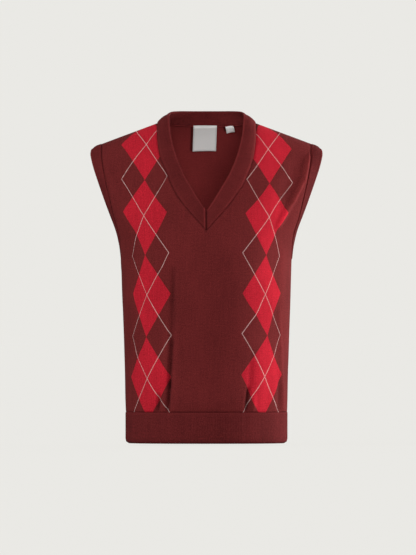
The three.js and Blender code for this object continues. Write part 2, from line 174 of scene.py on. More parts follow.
# The body of the vest. Heights are down from the neck ends of the shoulder seams
body = {
    "hemSeam": -533,
    "hemFold": -590,
    "hemRoll": 7,
    "underarm": -252,
    "neckTip": -197,
    "backNeck": -4,
    "neckHalf": 91.4,
    "shoulderHalf": 193.8,
    "shoulderTop": 1.4,
    "shoulderDrop": 38.2,
    "shoulderRoll": 140,
    "neckArch": 1.6,
    "roundness": 2.4,
    "seamOverlap": 0.3,
    # Where the wearer's right side of the V's band is drawn in
    "lean": {"x": -84, "z": -98, "width": 26, "height": 36, "slide": 4.6},
    "sections": table("z side front back edge", [
        (-533, 149.3, 105.5, 100.5, 0),
        (-512, 149.9, 110, 104, 0),
        (-470, 150.6, 113, 103.5, 0),
        (-400, 152.6, 117.5, 100.5, 0),
        (-330, 155.2, 124, 101, 0),
        (-280, 156.6, 128.5, 105.5, 0),
        (-252, 157.4, 129.5, 108.5, 0),
        (-247, 157.5, 129.4, 109, 15.5),
        (-237, 157.9, 129, 110, 28),
        (-220, 158.8, 127.5, 111.5, 40),
        (-200, 162.6, 124.5, 112.5, 50),
        (-174, 170.9, 119, 112.5, 57),
        (-146, 177.8, 111, 110.5, 61),
        (-103, 187.4, 97, 104, 62),
        (-60, 193.5, 82, 97, 57),
        (-37, 193.8, 74, 95, 53),
        (0, 193.8, 64, 94, 49),
        (35, 193.8, 58, 94, 47),
    ]),
    "neckline": table("z half", [
        (-197, 0), (-184, 12), (-170, 24.5), (-138, 50.5), (-101, 73), (-55, 88), (-20, 91.4), (0, 91.4),
    ]),
}
sideAt = smoothCurve(body["sections"], "z", "side")
edgeAt = smoothCurve(body["sections"], "z", "edge")
depthAt = {face: smoothCurve(body["sections"], "z", face) for face in ("front", "back")}
necklineAt = smoothCurve(body["neckline"], "z", "half")


def shoulderLine(x):
    slope = body["shoulderDrop"] / (body["shoulderHalf"] - body["neckHalf"])
    outward = abs(x) / body["neckHalf"]
    if outward >= 1:
        return body["shoulderTop"] - slope * (abs(x) - body["neckHalf"])
    arch = slope * body["neckHalf"] / body["neckArch"]
    return body["shoulderTop"] + arch * (1 - outward ** body["neckArch"])


def bodyDepth(face, x, z):
    power = body["roundness"]
    centre = depthAt[face](z)
    kept = 1 - (edgeAt(z) / centre) ** power
    section = centre * (1 - clamp(abs(x) / sideAt(z)) ** power * kept) ** (1 / power)
    belowShoulder = clamp((shoulderLine(x) - z) / body["shoulderRoll"])
    return section * math.sqrt(1 - (1 - belowShoulder) ** 2)


# The wearer's right side of the V's band is narrower than the left
def neckLean(place):
    lean = body["lean"]
    if place.y < 0:
        share = bump(place.x - lean["x"], lean["width"]) * bump(place.z - lean["z"], lean["height"])
        place.x += lean["slide"] * share
    return place


def surface(face, x, z):
    depth = bodyDepth(face, x, z) - body["seamOverlap"] / 2
    return Vector((x, -depth if face == "front" else depth, z))


# Lengths of cloth over the form of one panel: across from the centre and up from the hem seam
class ClothLengths:
    columns = 24
    rows = 120
    upColumns = 20
    upRows = 160

    def __init__(self, face):
        self.acrossRows = []
        for j in range(self.rows + 1):
            z = mix(body["hemSeam"], body["sections"][-1]["z"], j / self.rows)
            turns = [math.pi / 2 * k / self.columns for k in range(self.columns + 1)]
            self.acrossRows.append(self.lengths(surface(face, sideAt(z) * math.sin(a), z) for a in turns))
        self.upLines = []
        for k in range(self.upColumns + 1):
            x = body["shoulderHalf"] * k / self.upColumns
            turns = [math.pi / 2 * j / self.upRows for j in range(self.upRows + 1)]
            heights = [mix(body["hemSeam"], shoulderLine(x), math.sin(a)) for a in turns]
            self.upLines.append(self.lengths(surface(face, x, z) for z in heights))

    @staticmethod
    def lengths(points):
        total, last, sums = 0, None, []
        for point in points:
            total += (point - last).length if last else 0
            last = point
            sums.append(total)
        return sums

    @staticmethod
    def between(rows, i, j):
        i = clamp(i, 0, len(rows) - 1.000001)
        j = clamp(j, 0, len(rows[0]) - 1.000001)
        a, b = int(i), int(j)
        low = mix(rows[a][b], rows[a][b + 1], j - b)
        high = mix(rows[a + 1][b], rows[a + 1][b + 1], j - b)
        return mix(low, high, i - a)

    def across(self, x, z):
        row = (z - body["hemSeam"]) / (body["sections"][-1]["z"] - body["hemSeam"]) * self.rows
        turn = math.asin(clamp(abs(x) / sideAt(z))) / (math.pi / 2)
        return math.copysign(self.between(self.acrossRows, row, turn * self.columns), x)

    def up(self, x, z):
        share = clamp((z - body["hemSeam"]) / (shoulderLine(x) - body["hemSeam"]))
        turn = math.asin(share) / (math.pi / 2)
        return self.between(self.upLines, abs(x) / body["shoulderHalf"] * self.upColumns, turn * self.upRows)


lengths = {face: ClothLengths(face) for face in ("front", "back")}


# Creases and soft folds, from one point of the front view to another. A rise under 0 is a trough
folds = {
    "front": table("x0 z0 x1 z1 width rise", [
        (190, -60, 180, -106, 4, 4.6),
        (180, -104, 160, -142, 3.8, 6),
        (161, -140, 132, -190, 4.6, 5.2),
        (166, -78, 136, -150, 14, -2.6),
        (-186, -64, -168, -126, 12, 1.8),
        (-172, -122, -146, -196, 14, 1.6),
        (-72, -531, -68, -474, 3.2, -6),
        (-69, -486, -64, -400, 3.6, -5),
        (-64, -410, -60, -270, 5, -2.6),
        (-76, -470, -72, -380, 8, 1.6),
        (-57, -531, -54, -400, 8, 1.4),
        (-90, -531, -87, -500, 3.4, -5),
        (73, -531, 77, -490, 3.2, -5),
        (78, -500, 84, -430, 6, -1.6),
        (86, -531, 88, -504, 4.6, 2.2),
        (-104, -531, -100, -440, 15, 2),
        (112, -531, 118, -440, 10, -1.4),
        (134, -531, 136, -466, 4, -2.8),
        (141.6, -533, 140.6, -482, 3.6, 2.6),
        (139.4, -488, 136.6, -412, 3.6, 2.6),
        (136.4, -420, 133.4, -346, 3.8, 2.4),
        (145, -440, 142, -336, 7, 1.2),
        (137, -352, 139, -232, 8, 2),
        (-139, -506, -136, -330, 9, 1.6),
        (-165, -190, -153, -262, 8, 1.5),
        (-153, -256, -149, -330, 8, 0.9),
        (20, -531, 26, -430, 16, 0.9),
        (-26, -520, -20, -380, 18, 0.8),
        (0, -196, 0.4, -202, 1.6, -1.6),
        (34, -215, 8, -262, 20, 0.8),
        (-40, -228, -10, -270, 18, -0.7),
        (100, -222, 62, -300, 18, 0.9),
        (-98, -230, -60, -310, 20, 0.8),
    ]),
    "back": table("x0 z0 x1 z1 width rise", [
        (186, -76, 150, -176, 10, 2.8),
        (-188, -66, -156, -162, 9, 3),
        (-74, -531, -80, -420, 12, 2.2),
        (-38, -531, -36, -470, 6, -2.6),
        (46, -531, 50, -448, 7, -2.8),
        (92, -531, 88, -400, 13, 2.4),
        (134, -500, 138, -330, 10, 1.8),
        (-132, -524, -137, -350, 10, 2),
        (6, -430, 2, -250, 16, -1.4),
        (70, -120, 20, -160, 18, 0.9),
        (-78, -116, -24, -150, 20, 1),
        (-30, -300, -90, -250, 18, 0.8),
    ]),
}


foldMake = {
    "shoulderClear": 16,  # folds die out over this height below the shoulder line
    "endShare": 0.35,  # of a fold's rise beyond its ends
    "creaseWidth": 9,  # narrower folds are creases, with painted shade in the trough and a painted highlight on the ridge
    "trough": 0.11,  # for each millimetre of depth
    "ridge": 0.07,
}


# How far the folds raise the cloth at one place, and the painted shade of their troughs and painted highlight
# of their ridges
def foldAt(face, x, z):
    clear = clamp((shoulderLine(x) - z) / foldMake["shoulderClear"])
    rise = shade = 0
    for fold in folds[face]:
        start = Vector((fold["x0"], fold["z0"]))
        along = Vector((fold["x1"], fold["z1"])) - start
        nearest = clamp((Vector((x, z)) - start).dot(along) / along.length_squared)
        away = (Vector((x, z)) - start - along * nearest).length
        if away < 3 * fold["width"]:
            taper = mix(foldMake["endShare"], 1, math.sin(math.pi * mix(0.1, 0.9, nearest)))
            part = fold["rise"] * taper * clear * bump(away, fold["width"])
            rise += part
            if fold["width"] < foldMake["creaseWidth"]:
                shade += part * foldMake["trough" if part < 0 else "ridge"]
    return rise, shade


# Blank labels hung from the back neck seam
labels = [
    {"name": "neckLabel", "node": "neck_label", "left": -23.2, "right": 19.6, "top": 0.4, "bottom": -47,
     "lean": -1.7, "tilt": -1, "stand": 1, "lift": 3.6},
    {"name": "sizeLabel", "node": "size_label", "left": 36, "right": 50.6, "top": -0.6, "bottom": -12,
     "lean": 3, "tilt": 1.2, "stand": 0.6, "lift": 2.6},
]
labelMake = {
    "thickness": 0.5,
    "offPanel": 2.1,
    "bandSlope": 0.22,  # how far the back of the neckband comes forward for each millimetre up
    "curl": 0.4,  # of both side edges at the lower end
    "paintedShadow": -1.45,  # painted shadow on the back's inside behind the lifted edge
    "darkOut": 3.9,
    "darkWidth": 1.9,
    "darkFrom": -80,  # height above which a label is near
    "hemIn": 1.5,  # where the woven edge is stitched
    "hemWidth": 0.7,
    "hemShade": -0.3,
    "weft": (0.86, 0.855, 0.84),
    "warp": (1, 0.995, 0.98),
    "roughness": 0.6,
}


# Panels
panel = {
    "columns": 128,
    "neckColumns": 62,  # of the back, under the neck
    "rows": 172,
    "underarmRow": 0.47,  # share of the rows below the underarm
    "neckRow": 0.6,  # share of the rows below the tip of the V
    "thickness": 1.7,
    # How far each edge rolls into its seam
    "dips": {"hem": 0.5, "side": 0.8, "shoulder": 0.5, "arm": 1.3, "neck": 1.2},
    "seamRoll": 2.4,
    "seamShade": 0.11,  # painted shade, darker for each millimetre of dip
    "shoulderRow": 0.9,  # share of the rows that no shoulder seam is near
    "shoulderReach": 40,
    "shoulderFade": 9,  # the armhole's roll ends this far from the shoulder seam
    "foldFade": 5,  # folds flatten this near to a seam
}


def panelPlace(face, s, t):
    neckShare = body["neckHalf"] / body["shoulderHalf"]
    neckColumn = panel["neckColumns"] / panel["columns"]
    if face == "front":
        share = math.sin(s * math.pi / 2)
    elif s <= neckColumn:
        share = neckShare * s / neckColumn
    else:
        share = math.sin(mix(math.asin(neckShare), math.pi / 2, (s - neckColumn) / (1 - neckColumn)))
    share = min(share, 1)

    def height(share):
        if t <= panel["underarmRow"]:
            return mix(body["hemSeam"], body["underarm"], t / panel["underarmRow"])
        if t <= panel["neckRow"]:
            rise = (t - panel["underarmRow"]) / (panel["neckRow"] - panel["underarmRow"])
            return mix(body["underarm"], body["neckTip"], rise ** 1.5)
        x = mix(body["neckHalf"] if face == "front" else 0, body["shoulderHalf"], share)
        top = shoulderLine(x)
        if x < body["neckHalf"]:
            top = mix(body["backNeck"], body["shoulderTop"], (x / body["neckHalf"]) ** 2)
        rise = (t - panel["neckRow"]) / (1 - panel["neckRow"])
        return mix(body["neckTip"], top, math.sin(rise * math.pi / 2))

    z = height(share)
    neck = necklineAt(height(0)) if face == "front" else 0
    return mix(neck, sideAt(height(1)), share), z


# The argyle, as the front view shows it. For each column: the height of its middle at each level, then the
# places of its corner towards the side, its middle and its corner towards the centre. Red diamonds centre on
# the even levels. The courses bow, so the corners stand a little above the middle.
argyle = {
    "halfWidth": 46,
    "levels": table("level leftZ leftOut leftX leftIn rightZ rightOut rightX rightIn inBow outBow", [
        (7, -546, -137.8, -106, -60, -546, 137, 101.5, 61, 3, 2),
        (6, -470.5, -137.5, -108.5, -65.7, -466.8, 137.6, 107.7, 64, 3.5, 3),
        (5, -393.7, -134.7, -110.8, -64.8, -390.9, 134.1, 112.3, 65.4, 3.6, 1.2),
        (4, -316.4, -135.2, -109.9, -65.7, -315.5, 135.2, 108.6, 66.3, 2.3, 2.3),
        (3, -242.8, -136.6, -112.8, -69.2, -242.8, 134.1, 110.1, 66.5, 4, -2),
        (2, -170.7, -151.6, -115.8, -72.4, -173.1, 146.9, 116.2, 71.4, 7, 8),
        (1, -104.7, -156.4, -114.8, -77.3, -110.9, 159.6, 116.2, 74.7, 8, 2),
        (0, -38.7, -157.3, -111.1, -69, -47.2, 157.2, 113.8, 72, 1, 0),
    ]),
    "levelHeight": 76,
    # Where the cloth is drawn sideways by a fold, towards the side seam if the slide is over 0
    "drifts": table("x z width height slide", [
        (-128, -430, 16, 22, 3),
        (-86, -262, 14, 14, -2),
        (86, -512, 10, 18, -3),
        (92, -350, 14, 18, 2.5),
        (128, -190, 12, 20, -3),
        (126, -356, 12, 22, -2),
        (-126, -192, 12, 20, -2.5),
        (92, -1, 14, 13, -8),
    ]),
}


def chartCurves(side):
    rows = []
    for row in argyle["levels"]:
        z = row[side + "Z"]
        out, middle, inner = [abs(lengths["front"].across(row[side + end], z)) for end in ("Out", "X", "In")]
        rows.append({**row, "z": z, "middle": middle, "outward": out - middle, "inward": middle - inner})
    return {name: smoothCurve(rows, "z", name) for name in (
        "level", "middle", "outward", "inward", "inBow", "outBow")}


charts = {"left": chartCurves("left"), "right": chartCurves("right")}


# Chart coordinates: steps from the column's middle to its corners, and levels down from the top diamond
def chartPlace(x, z, across):
    side = "left" if x < 0 else "right"
    chart = charts[side]
    fromMiddle = abs(across) - chart["middle"](z)
    for drift in argyle["drifts"]:
        away = ((x - drift["x"]) / drift["width"]) ** 2 + ((z - drift["z"]) / drift["height"]) ** 2
        if away < 9:
            fromMiddle -= drift["slide"] * math.exp(-away)
    outer = fromMiddle > 0
    steps = fromMiddle / chart["outward" if outer else "inward"](z)
    z -= chart["outBow" if outer else "inBow"](z) * min(steps * steps, 1.5)
    level = chart["level"](z)
    first, top = argyle["levels"][-2:]
    middle, low, high = first[side + "X"], first[side + "Z"], top[side + "Z"]
    if z > low:  # over the shoulder, levels are counted along the cloth
        up = lengths["front"].up
        level = 1 - (up(x, z) - up(x, low)) / (up(middle, high) - up(middle, low))
    return steps, level


# A panel is open, so its faces are turned away from the middle of the body
def turnOutward(bm):
    bmesh.ops.recalc_face_normals(bm, faces=bm.faces)
    middle = Vector((0, 0, 0))
    for vertex in bm.verts:
        middle += vertex.co / len(bm.verts)
    middle.y = 0
    outward = sum(face.normal.dot(face.calc_center_median() - middle) * face.calc_area() for face in bm.faces)
    if outward < 0:
        bmesh.ops.reverse_faces(bm, faces=bm.faces)


def finishPiece(name, bm, materials, thickness=0):
    bmesh.ops.transform(bm, verts=bm.verts, matrix=Matrix.Scale(metre, 4))
    mesh = bpy.data.meshes.new(name)
    bm.to_mesh(mesh)
    bm.free()
    mesh.polygons.foreach_set("use_smooth", [True] * len(mesh.polygons))
    for material in materials:
        mesh.materials.append(material)
    piece = bpy.data.objects.new(name, mesh)
    bpy.context.scene.collection.objects.link(piece)
    if thickness:
        wall = piece.modifiers.new("cloth", "SOLIDIFY")
        wall.thickness = thickness * metre
        wall.offset = -1
        wall.material_offset = len(materials) - 1
    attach(piece, "root")
    print("made", name, len(mesh.polygons), "faces")
    return piece


# A painted shadow: behind a label's lifted edge the back's inside is painted dark
def labelPaintedShadow(x, z):
    paintedShadow = 0
    for row in labels:
        down = (row["top"] - z) / (row["top"] - row["bottom"])
        if -0.02 < down < 1.02:
            fromEdge = x - row["left"] - row["lean"] * down
            paintedShadow += labelMake["paintedShadow"] * bump(fromEdge + labelMake["darkOut"], labelMake["darkWidth"])
    return paintedShadow


def makePanel(name, face, materials):
    bm = bmesh.new()
    bmesh.ops.create_grid(bm, x_segments=panel["columns"], y_segments=panel["rows"], size=0.5)
    edgeRoom = bm.verts.layers.float.new("edgeRoom")
    seamDip = bm.verts.layers.float.new("seamDip")
    shade = bm.verts.layers.float.new("shade")
    insideShade = bm.verts.layers.float.new("insideShade")
    for vertex in bm.verts:
        s, t = vertex.co.x + 0.5, vertex.co.y + 0.5
        x, z = panelPlace(face, s, t)
        place = surface(face, x, z)
        side = "arm" if t > panel["underarmRow"] else "side"
        rooms = {"hem": z - body["hemSeam"], side: (surface(face, sideAt(z), z) - place).length}
        if t > panel["shoulderRow"]:
            top = surface(face, x, min(shoulderLine(x), z + panel["shoulderReach"]))
            edge = "neck" if face == "back" and x < body["neckHalf"] else "shoulder"
            rooms[edge] = (top - place).length
        if face == "front" and t >= panel["neckRow"]:
            rooms["neck"] = (surface(face, necklineAt(z), z) - place).length
        nearShoulder = clamp(rooms.get("shoulder", panel["shoulderReach"]) / panel["shoulderFade"])
        dip = 0
        for edge, room in rooms.items():
            depth = panel["dips"][edge] * (nearShoulder if edge == "arm" else 1)
            dip = max(dip, depth * bump(room, panel["seamRoll"]))
        vertex[edgeRoom] = min(rooms.values())
        vertex[seamDip] = dip
        vertex.co = place
    bmesh.ops.mirror(bm, geom=bm.verts[:] + bm.edges[:] + bm.faces[:], axis="X", merge_dist=0.001)
    turnOutward(bm)
    bm.normal_update()

    cloth = bm.loops.layers.uv.new("cloth")
    chart = bm.loops.layers.uv.new("chart")
    for vertex in bm.verts:
        x, z = vertex.co.x, vertex.co.z
        across = lengths[face].across(x, z)
        up = lengths[face].up(x, z)
        for loop in vertex.link_loops:
            loop[cloth].uv = (across, up)
            onLeft = loop.face.calc_center_median().x < 0
            loop[chart].uv = chartPlace(-0.001 if onLeft and x == 0 else x, z, across)
    for vertex in bm.verts:
        rise, crease = foldAt(face, vertex.co.x, vertex.co.z)
        fade = clamp(vertex[edgeRoom] / panel["foldFade"])
        vertex.co = neckLean(vertex.co + vertex.normal * (rise * fade - vertex[seamDip]))
        # Painted shade in crease troughs and seam dips, and a painted highlight on crease ridges
        vertex[shade] = crease * (0.4 + 0.6 * fade) - panel["seamShade"] * vertex[seamDip]
        # A painted shadow on the back's inside, behind each label's lifted edge
        if face == "back" and vertex.co.z > labelMake["darkFrom"]:
            vertex[insideShade] = labelPaintedShadow(vertex.co.x, vertex.co.z)
    bm.verts.layers.float.remove(bm.verts.layers.float["edgeRoom"])
    bm.verts.layers.float.remove(bm.verts.layers.float["seamDip"])
    return finishPiece(name, bm, materials, panel["thickness"])


# Bands of doubled rib. Shades and tones are painted shade and painted highlight: they make the cloth paler
# over 0 and darker under it
band = {
    "thickness": 2.7,
    "proud": 0.35,
    "ribPitch": 3,
    "ribHeight": 0.25,
    "columnsPerRib": 4,
    "seamDips": {"hem": 0.5, "arm": 1.3, "neck": 1.2},
    "seamRidge": 0.5,  # the linked edge, raised beside the seam
    "foldLip": 0.7,  # the folded edge, raised where the doubled rib turns
    "shades": {"hem": -0.12, "arm": -0.64, "neck": -0.36, "ridge": 0.16, "fold": 0.55},
    "litSeam": {"neck": 0.34, "arm": 0.26, "ridge": 0.3},  # the wearer's left side faces the light
    # Away from the light, and towards it
    "tones": {"hem": (0, 0), "arm": (0.06, -0.12), "neck": (0, 0.12)},
    "outerRows": 14,
    "foldRows": 6,
    "innerRows": 6,
    "rowLength": 3,  # cloth counted for each row, for the stitches
    "ribShape": 0.4,  # power under 1, so that ribs are broad and the grooves narrow
    "armEdge": table("z out", [
        (-228, 159), (-207, 164), (-192, 168.6), (-170, 177.2), (-148, 185.7), (-125, 194),
        (-103, 201.7), (-81, 209), (-66, 212.8), (-56, 214.4), (-50, 213.6),
    ]),
    "armSeam": {"z": -144.5, "halfHeight": 107.5, "halfDepth": 60},
    "armOpening": {"z": -139, "halfHeight": 89, "halfDepth": 36},
    "hemRise": 0.15,  # share of a fold's rise that the hem seam follows
    "hemTurn": 80,  # degrees that the hem's folded edge turns in
    # The linking loops' shade and insideShade are painted highlights, paler outside and much paler inside the
    # back neck
    "linking": {"pitch": 2.2, "columns": 6, "sides": 6, "fromSeam": 2, "halfWidth": 0.6, "lift": 0.5,
                "shade": 0.3, "insideShade": 1.7},
    "armBulge": {"low": 0.8, "top": 2.6},
    "armWidth": 24,
    "neckWidth": 31,
    "mitreDip": 1.5,  # the groove down the tip of the V, and the lifted edge beside it
    "mitreRidge": 1.1,
    # painted shade in that groove and a painted highlight on the lifted edge
    "mitreShades": {"groove": -0.6, "ridge": 0.5},
    "neckEdge": table("along x y z bulge", [
        (0, 0, -115, -162, 0.8),
        (0.14, 9, -111.5, -148.5, 0.8),
        (0.29, 24.5, -103.5, -123, 1),
        (0.47, 43.5, -88.5, -90, 1.5),
        (0.68, 58, -65, -53, 2),
        (0.87, 66.5, -34, -14, 3.2),
        (1, 68.5, -8, 14.5, 3.6),
        (1.17, 66, 14, 21.5, 2.4),
        (1.34, 57, 29, 23.5, 2.2),
        (1.56, 39, 41, 24, 2),
        (1.78, 20, 47, 24, 1.5),
        (2, 0, 49, 24, 1.5),
    ]),
}
bandRows = band["outerRows"] + band["foldRows"] + band["innerRows"] + 1
armEdgeAt = smoothCurve(band["armEdge"], "z", "out")
neckEdgeAt = {name: smoothCurve(band["neckEdge"], "along", name) for name in ("x", "y", "z", "bulge")}


# A seam's line of points. A share of the way along it: the point, the cloth's normal and the seam's direction
class SeamLine:
    def __init__(self, points, normals):
        self.points = points
        self.normals = normals
        self.lengths = [0]
        for a, b in zip(points, points[1:]):
            self.lengths.append(self.lengths[-1] + (b - a).length)

    def at(self, share):
        wanted = clamp(share) * self.lengths[-1]
        k = clamp(bisect.bisect_right(self.lengths, wanted) - 1, 0, len(self.points) - 2)
        t = (wanted - self.lengths[k]) / (self.lengths[k + 1] - self.lengths[k])
        point = self.points[k].lerp(self.points[k + 1], t)
        normal = self.normals[k].lerp(self.normals[k + 1], t).normalized()
        return point, normal, (self.points[k + 1] - self.points[k]).normalized()


def surfaceNormal(face, x, z, step=0.4):
    inside = min(x + step, sideAt(z))
    across = surface(face, inside, z) - surface(face, inside - 2 * step, z)
    top = min(z + step, shoulderLine(x))
    up = surface(face, x, top) - surface(face, x, top - 2 * step)
    normal = across.cross(up).normalized()
    return normal if (normal.y < 0) == (face == "front") else -normal


# How the outer face of a band stands over its plain form, at a distance from the seam and from the fold
def bandRelief(seamDip, fromSeam, fromFold, rib, stand=1):
    pressed = 1 - 0.8 * bump(fromSeam, 1.6)
    ridge = stand * band["seamRidge"] * bump(fromSeam - 3.2, 1.3)
    lip = band["foldLip"] * (bump(fromFold - 1.2, 1.5) - 0.5 * bump(fromFold - 4.6, 1.9))
    return ridge + lip + band["ribHeight"] * rib * pressed - seamDip * bump(fromSeam, panel["seamRoll"])


# The points round a band at one place: out from the seam, over the folded edge and back inside
def bandProfile(seam, edgePoint, edgeNormal, bulge, seamDip, t, rib, stand=1):
    point, normal, tangent = seam
    offSeam = tangent.cross(normal).normalized()
    if offSeam.dot(edgePoint - point) < 0:
        offSeam.negate()
    start = point - offSeam * body["seamOverlap"]
    half = band["thickness"] / 2
    row = t * bandRows
    middle = half - band["proud"]
    flush = (1 - stand) * (band["proud"] + panel["dips"]["shoulder"])

    def core(w):
        along = normal.lerp(edgeNormal, w).normalized()
        lower = flush * bump(w, 0.5)
        return start.lerp(edgePoint, w) + along * (4 * w * (1 - w) * bulge - middle - lower), along

    width = (edgePoint - start).length
    foldStart = 1 - half / width
    if row <= band["outerRows"]:
        w = foldStart * row / band["outerRows"]
        place, along = core(w)
        return place + along * (half + bandRelief(seamDip, w * width, (1 - w) * width - half, rib, stand))
    if row <= band["outerRows"] + band["foldRows"]:
        turn = math.pi * (row - band["outerRows"]) / band["foldRows"]
        place, along = core(foldStart)
        outward = (edgePoint - start).normalized()
        outward = (outward - along * outward.dot(along)).normalized()
        ribHere = bandRelief(0, width, 0, rib) * (0.6 + 0.4 * math.cos(turn))
        return place + (along * math.cos(turn) + outward * math.sin(turn)) * (half + ribHere)
    w = foldStart * clamp((bandRows - 1 - row) / band["innerRows"])
    place, along = core(w)
    if row > bandRows - 0.5:  # the last row closes the band on its first, at the seam
        return place + along * (half + bandRelief(seamDip, 0, width - half, rib))
    return place - along * (half + band["ribHeight"] * 0.5 * rib)


# Painted shade darkens the seam, and painted highlights pale the linked ridge and the folded edge; each side
# gets a painted tone for how it faces the light
def bandShade(kind, t, width, lit):
    row = t * bandRows
    if row > band["outerRows"] + 1.5:
        return 0
    fromSeam = width * row / band["outerRows"]
    shades, litSeam = band["shades"], band["litSeam"]
    tone = band["tones"][kind][lit]
    tone += shades[kind] * bump(fromSeam, 1.5) + shades["ridge"] * bump(fromSeam - 3.4, 1.4)
    if lit:
        tone += litSeam[kind] * bump(fromSeam, 1.5) + litSeam["ridge"] * bump(fromSeam - 2.2, 1.2)
    return tone + (0 if kind == "hem" else shades["fold"] * bump(width - fromSeam, 1.4))


# A strip of rib folded into a closed band. placeAt gives a point for the shares along and round the band
def makeBand(name, kind, length, width, placeAt, material, extraShade=None):
    ribs = round(length / band["ribPitch"])
    bm = bmesh.new()
    cloth = bm.loops.layers.uv.new("cloth")
    bmesh.ops.create_grid(bm, x_segments=ribs * band["columnsPerRib"], y_segments=bandRows, size=0.5)
    shade = bm.verts.layers.float.new("shade")
    for face in bm.faces:
        for loop in face.loops:
            s, t = loop.vert.co.x + 0.5, loop.vert.co.y + 0.5
            loop[cloth].uv = (s * ribs * band["ribPitch"], t * bandRows * band["rowLength"])
    for vertex in bm.verts:
        s, t = vertex.co.x + 0.5, vertex.co.y + 0.5
        rib = (0.5 - 0.5 * math.cos(2 * math.pi * s * ribs)) ** band["ribShape"]
        vertex.co = neckLean(placeAt(s, t, rib))
        lit = kind != "hem" and vertex.co.x > 2 and vertex.co.y < 0
        vertex[shade] = bandShade(kind, t, width, lit) + (extraShade(s, vertex.co) if extraShade else 0)
    bmesh.ops.remove_doubles(bm, verts=bm.verts, dist=0.02)
    if kind != "arm":
        bmesh.ops.holes_fill(bm, edges=[edge for edge in bm.edges if edge.is_boundary], sides=0)
    t = band["outerRows"] / bandRows * band["linking"]["fromSeam"] / width
    addLinking(bm, length, placeAt, t, 2.4 * t, band["linking"]["shade"])
    if kind == "neck":  # it shows inside the back neck too
        inside = band["linking"]["insideShade"]
        addLinking(bm, length, placeAt, 1 - 1.3 / bandRows, 1 - 2.3 / bandRows, inside)
    bmesh.ops.recalc_face_normals(bm, faces=bm.faces)
    return finishPiece(name, bm, [material])


# The chain of loops that links a band to its panel, along the seam. Its tone is a painted highlight
def addLinking(bm, length, placeAt, t, beyond, tone):
    linking = band["linking"]
    count = round(length / linking["pitch"])
    steps = count * linking["columns"]
    made = bmesh.ops.create_grid(bm, x_segments=steps, y_segments=linking["sides"], size=0.5)["verts"]
    shade = bm.verts.layers.float["shade"]
    cloth = bm.loops.layers.uv["cloth"]
    rings = {}
    for vertex in made:
        k, turn = round((vertex.co.x + 0.5) * steps), (vertex.co.y + 0.5) * 2 * math.pi
        if k not in rings:
            s = k / steps
            before, after = [neckLean(placeAt(clamp(s + step / count), t, 0.5)) for step in (-0.3, 0.3)]
            middle = neckLean(placeAt(s, t, 0.5))
            onto = (neckLean(placeAt(s, beyond, 0.5)) - middle).normalized()
            swell = 0.25 + 0.75 * abs(math.sin(math.pi * k / linking["columns"]))
            rings[k] = middle, onto, (after - before).cross(onto).normalized(), swell * (0 < k < steps)
        middle, onto, out, swell = rings[k]
        for loop in vertex.link_loops:
            loop[cloth].uv = (k / steps * length, turn)
        vertex[shade] = tone
        across, lift = linking["halfWidth"] * math.cos(turn), linking["lift"] * math.sin(turn)
        vertex.co = middle + (onto * across + out * lift) * swell
    bmesh.ops.remove_doubles(bm, verts=made, dist=0.001)


def hemSeamLine(face, steps=120):
    points, normals = [], []
    for k in range(steps + 1):
        turn = mix(-math.pi / 2, math.pi / 2, k / steps)
        x = sideAt(body["hemSeam"]) * math.sin(turn)
        point = surface(face, x, body["hemSeam"])
        rise = foldAt(face, x, body["hemSeam"])[0]
        normal = surfaceNormal(face, abs(x), body["hemSeam"])
        normal = Vector((math.copysign(normal.x, x), normal.y, 0)).normalized()
        points.append(point + normal * rise * band["hemRise"])
        normals.append(normal)
    return SeamLine(points, normals)


def makeHem(name, face, material):
    seam = hemSeamLine(face)
    roll = body["hemRoll"]
    straight = body["hemSeam"] + body["seamOverlap"] - body["hemFold"] - roll
    turned = math.radians(band["hemTurn"]) * roll
    drop = straight + turned

    def placeAt(s, t, rib):
        point, normal, tangent = seam.at(s)
        half = band["thickness"] / 2
        row = t * bandRows

        def core(down):
            if down <= straight:
                z = body["hemSeam"] + body["seamOverlap"] - down
                return Vector((point.x, point.y, z)) - normal * (half - band["proud"]), normal
            angle = (down - straight) / roll
            away = normal * math.cos(angle) - Vector((0, 0, math.sin(angle)))
            centre = Vector((point.x, point.y, body["hemFold"] + roll)) - normal * roll
            return centre + away * (roll - half + band["proud"]), away

        if row <= band["outerRows"]:
            down = drop * (row / band["outerRows"]) ** 1.25
            place, away = core(down)
            return place + away * (half + bandRelief(band["seamDips"]["hem"], down, 99, rib))
        if row <= band["outerRows"] + band["foldRows"]:
            turn = math.pi * (row - band["outerRows"]) / band["foldRows"]
            place, away = core(drop)
            below = Vector((0, 0, -1))
            onward = below * away.dot(normal) - normal * away.dot(below)
            outward = away * math.cos(turn) + onward * math.sin(turn)
            return place + outward * (half + band["ribHeight"] * rib)
        down = drop * clamp((bandRows - 1 - row) / band["innerRows"])
        place, away = core(down)
        if row > bandRows - 0.5:
            return place + away * (half + bandRelief(band["seamDips"]["hem"], 0, 99, rib))
        return place - away * (half + band["ribHeight"] * 0.5 * rib)

    return makeBand(name, "hem", seam.lengths[-1], drop, placeAt, material)


